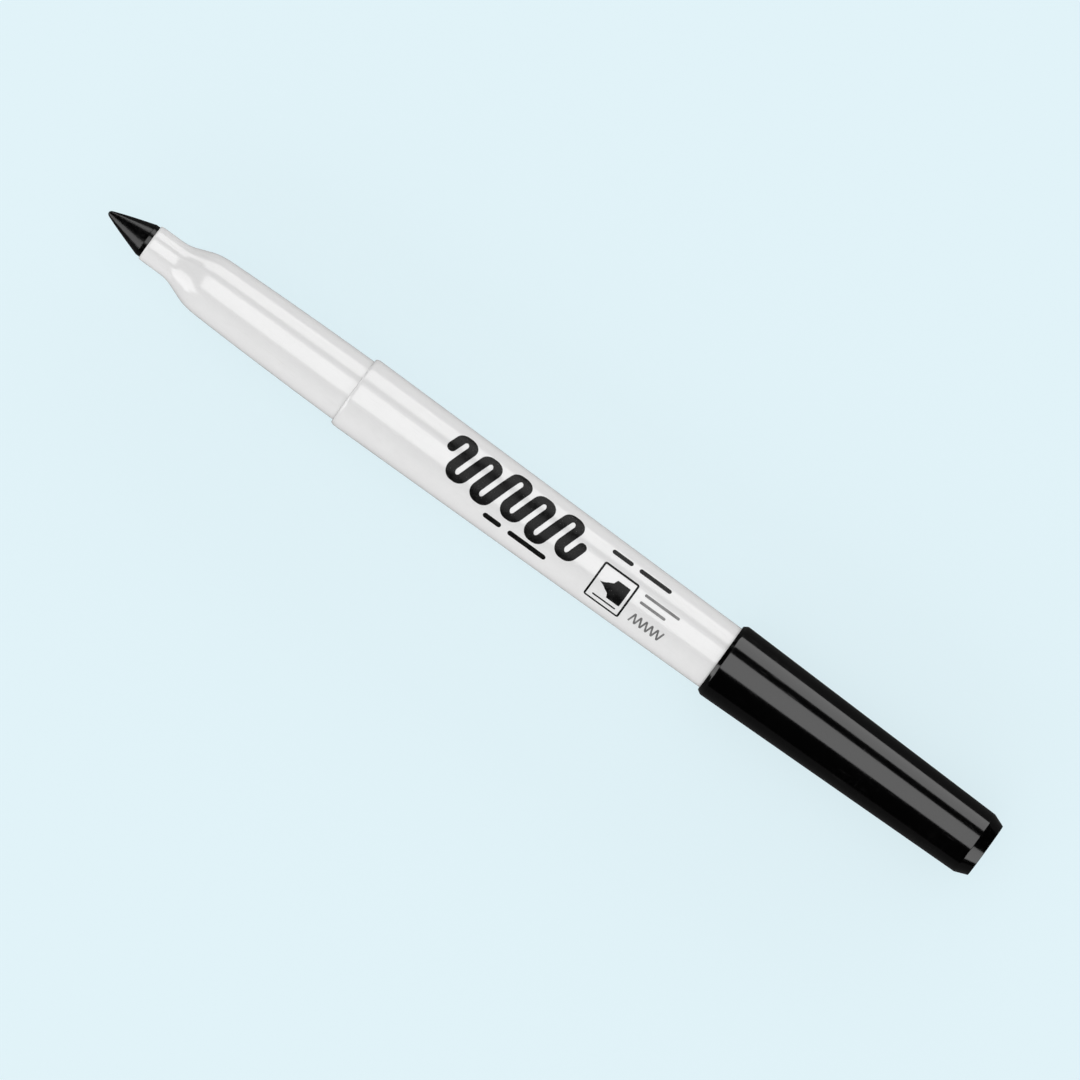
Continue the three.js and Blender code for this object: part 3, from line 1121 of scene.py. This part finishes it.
def softbox(name, centre, target, size, radiance, mirrored):
    """A rectangular area light that faces a point, of power radiance times pi times its area.

    A mirrored one is seen only by glossy reflections, and the others light only the matt share of a
    surface.
    """
    light = bpy.data.lights.new(name, "AREA")
    light.shape = "RECTANGLE"
    light.size, light.size_y = size
    light.energy = radiance * math.pi * size[0] * size[1]
    lamp = bpy.data.objects.new(name, light)
    bpy.context.scene.collection.objects.link(lamp)
    lamp.location = centre
    lamp.rotation_mode = "QUATERNION"
    lamp.rotation_quaternion = (Vector(centre) - Vector(target)).to_track_quat("Z", "Y")
    lamp.visible_camera = False
    lamp.visible_diffuse = not mirrored
    lamp.visible_glossy = mirrored


class MARKER_OT_studio(Operator):
    """Add the pale floor, the soft lights and the camera that looks straight down"""

    bl_idname = "marker.add_studio"
    bl_label = "Studio"

    def execute(self, context):
        studio = context.scene.marker_studio
        self.floor(studio)
        self.background(context.scene, studio)
        self.lights(studio)
        self.camera(context.scene, studio)
        return {"FINISHED"}

    def floor(self, studio):
        """A flat disc just under the marker: points at even radii and angles."""
        reach = 0.6
        gap = 0.01 * MM
        rings = np.linspace(0, reach, 5)
        spokes = np.linspace(0, 2 * math.pi, 65)
        radius, angle = np.meshgrid(rings, spokes, indexing="ij")
        level = np.full_like(radius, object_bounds()[0].z - gap)
        grid = np.stack([radius * np.cos(angle), radius * np.sin(angle), level], axis=-1)
        index = np.arange(radius.size).reshape(radius.shape)
        quads = np.stack([index[:-1, :-1], index[1:, :-1], index[1:, 1:], index[:-1, 1:]], axis=-1)
        mesh = bpy.data.meshes.new("floor")
        mesh.from_pydata(grid.reshape(-1, 3), [], quads.reshape(-1, 4).tolist())
        mesh.materials.append(self.floor_material(studio))
        floor = bpy.data.objects.new("floor", mesh)
        bpy.context.scene.collection.objects.link(floor)
        floor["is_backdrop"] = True

    def floor_material(self, studio):
        """Pale to the camera, partly by its own light so that shadows stay faint, and dim in reflections.
        It fades out with distance into the background."""
        material, nodes, shader, place = new_material("Floor", 0.9, Specular_IOR_Level=0.0)
        path = nodes.add("ShaderNodeLightPath")
        seen = path.outputs["Is Camera Ray"]
        shaded = tuple(part * FLOOR_SHADE for part in studio.floor)
        glow = tuple(part * FLOOR_GLOW for part in studio.floor)
        to_matt = (*[FLOOR_TO_MATT] * 3, 1)
        to_gloss = (*[FLOOR_TO_GLOSS] * 3, 1)
        unseen = nodes.mix(path.outputs["Is Glossy Ray"], to_matt, to_gloss)
        tone = nodes.mix(seen, unseen, (*shaded, 1))
        own_light = nodes.mix(seen, (0, 0, 0, 1), (*glow, 1))
        distance = nodes.add("ShaderNodeVectorMath", {"operation": "LENGTH"})
        nodes.put(place, distance.inputs[0])
        fade = nodes.ramp(distance.outputs["Value"], FADE_START, FADE_END, 1.0, 0.0)
        nodes.feed(shader, Base_Color=tone, Emission_Color=own_light, Emission_Strength=1.0, Alpha=fade)
        return material

    def background(self, scene, studio):
        """Pale to the camera, an even soft light to matt surfaces, and nearly black to glossy ones."""
        world = bpy.data.worlds.new("Studio")
        world.use_nodes = True
        world.node_tree.nodes.clear()
        nodes = Nodes(world.node_tree)
        path = nodes.add("ShaderNodeLightPath")
        to_matt = (*[studio.surround] * 3, 1)
        to_gloss = (*[DARK_AROUND] * 3, 1)
        unseen = nodes.mix(path.outputs["Is Glossy Ray"], to_matt, to_gloss)
        colour = nodes.mix(path.outputs["Is Camera Ray"], unseen, (*studio.floor, 1))
        shade = nodes.add("ShaderNodeBackground", Color=colour)
        nodes.add("ShaderNodeOutputWorld", Surface=shade.outputs["Background"])
        scene.world = world
        scene.view_settings.view_transform = "Standard"

    def lights(self, studio):
        """Mirrored panels: one overhead and one behind, which draw the two bands along the marker, one at
        each end in front, which only flares and bevels show, and a low one off each end, which low views
        show. A low fill on each side lights the marker's flanks."""
        aim = (0.0, 0.0, AXIS_HEIGHT)
        panel = studio.mirrored
        low_panel = END_PANEL * panel
        fill_behind = FILL_BEHIND * studio.fill
        softbox("panel_overhead", (0.0, 0.045, 1.0), (0.0, 0.045, 0.0), (0.90, 0.95), panel, True)
        softbox("panel_behind", (-0.18, 1.0, 0.42), (-0.18, 0.0, 0.42), (1.24, 0.84), panel, True)
        softbox("panel_nib_end", (-0.72, -0.58, 0.40), aim, (0.80, 0.72), panel, True)
        softbox("panel_cap_end", (0.71, -0.50, 0.50), aim, (0.64, 0.56), panel, True)
        softbox("panel_off_nib", (-1.2, 0.0, 0.13), (0.0, 0.0, 0.13), (1.6, 0.26), low_panel, True)
        softbox("panel_off_cap", (1.2, 0.0, 0.18), (0.0, 0.0, 0.18), (1.6, 0.36), low_panel, True)
        softbox("fill_front", (0.0, -1.0, 0.35), (0.0, 0.0, 0.35), (2.4, 0.50), studio.fill, False)
        softbox("fill_behind", (0.0, 1.0, 0.22), (0.0, 0.0, 0.22), (2.4, 0.40), fill_behind, False)

    def camera(self, scene, studio):
        """Straight above the marker, turned about the vertical, far enough away for the lens and the view
        width."""
        data = bpy.data.cameras.new("camera")
        data.lens = studio.lens
        camera = bpy.data.objects.new("camera", data)
        distance = studio.view_width * studio.lens / data.sensor_width
        beside_x = -0.1 * MM
        beside_y = -1.53 * MM
        camera.location = (beside_x, beside_y, AXIS_HEIGHT + distance)
        camera.rotation_euler = (0.0, 0.0, studio.turn)
        scene.collection.objects.link(camera)
        scene.camera = camera


class MARKER_PT_panel(Panel):
    """Lists the marker's pieces, sizes, colours and studio"""

    bl_label = "Whiteboard Marker"
    bl_idname = "MARKER_PT_panel"
    bl_space_type = "VIEW_3D"
    bl_region_type = "UI"
    bl_category = "Marker"

    def draw(self, context):
        column = self.layout.column(align=True)
        for operator in OPERATORS:
            column.operator(operator.bl_idname)
        scene = context.scene
        for group in (scene.marker_sizes, scene.marker_colours, scene.marker_studio):
            box = self.layout.box()
            for name in group.__annotations__:
                box.prop(group, name)


OPERATORS = (
    MARKER_OT_nib,
    MARKER_OT_body,
    MARKER_OT_end_plug,
    MARKER_OT_ink_store,
    MARKER_OT_cap,
    MARKER_OT_print,
    MARKER_OT_studio,
)
CLASSES = (MarkerSizes, MarkerColours, MarkerStudio, *OPERATORS, MARKER_PT_panel)


def register():
    for cls in CLASSES:
        bpy.utils.register_class(cls)
    bpy.types.Scene.marker_sizes = PointerProperty(type=MarkerSizes)
    bpy.types.Scene.marker_colours = PointerProperty(type=MarkerColours)
    bpy.types.Scene.marker_studio = PointerProperty(type=MarkerStudio)


def unregister():
    del bpy.types.Scene.marker_studio
    del bpy.types.Scene.marker_colours
    del bpy.types.Scene.marker_sizes
    for cls in reversed(CLASSES):
        bpy.utils.unregister_class(cls)


def main():
    """Builds the marker and its studio."""
    register()
    bpy.ops.marker.add_nib()
    bpy.ops.marker.add_body()
    bpy.ops.marker.add_end_plug()
    bpy.ops.marker.add_ink_store()
    bpy.ops.marker.add_cap()
    bpy.ops.marker.add_print()
    bpy.ops.marker.add_studio()


if __name__ == "__main__":
    main()
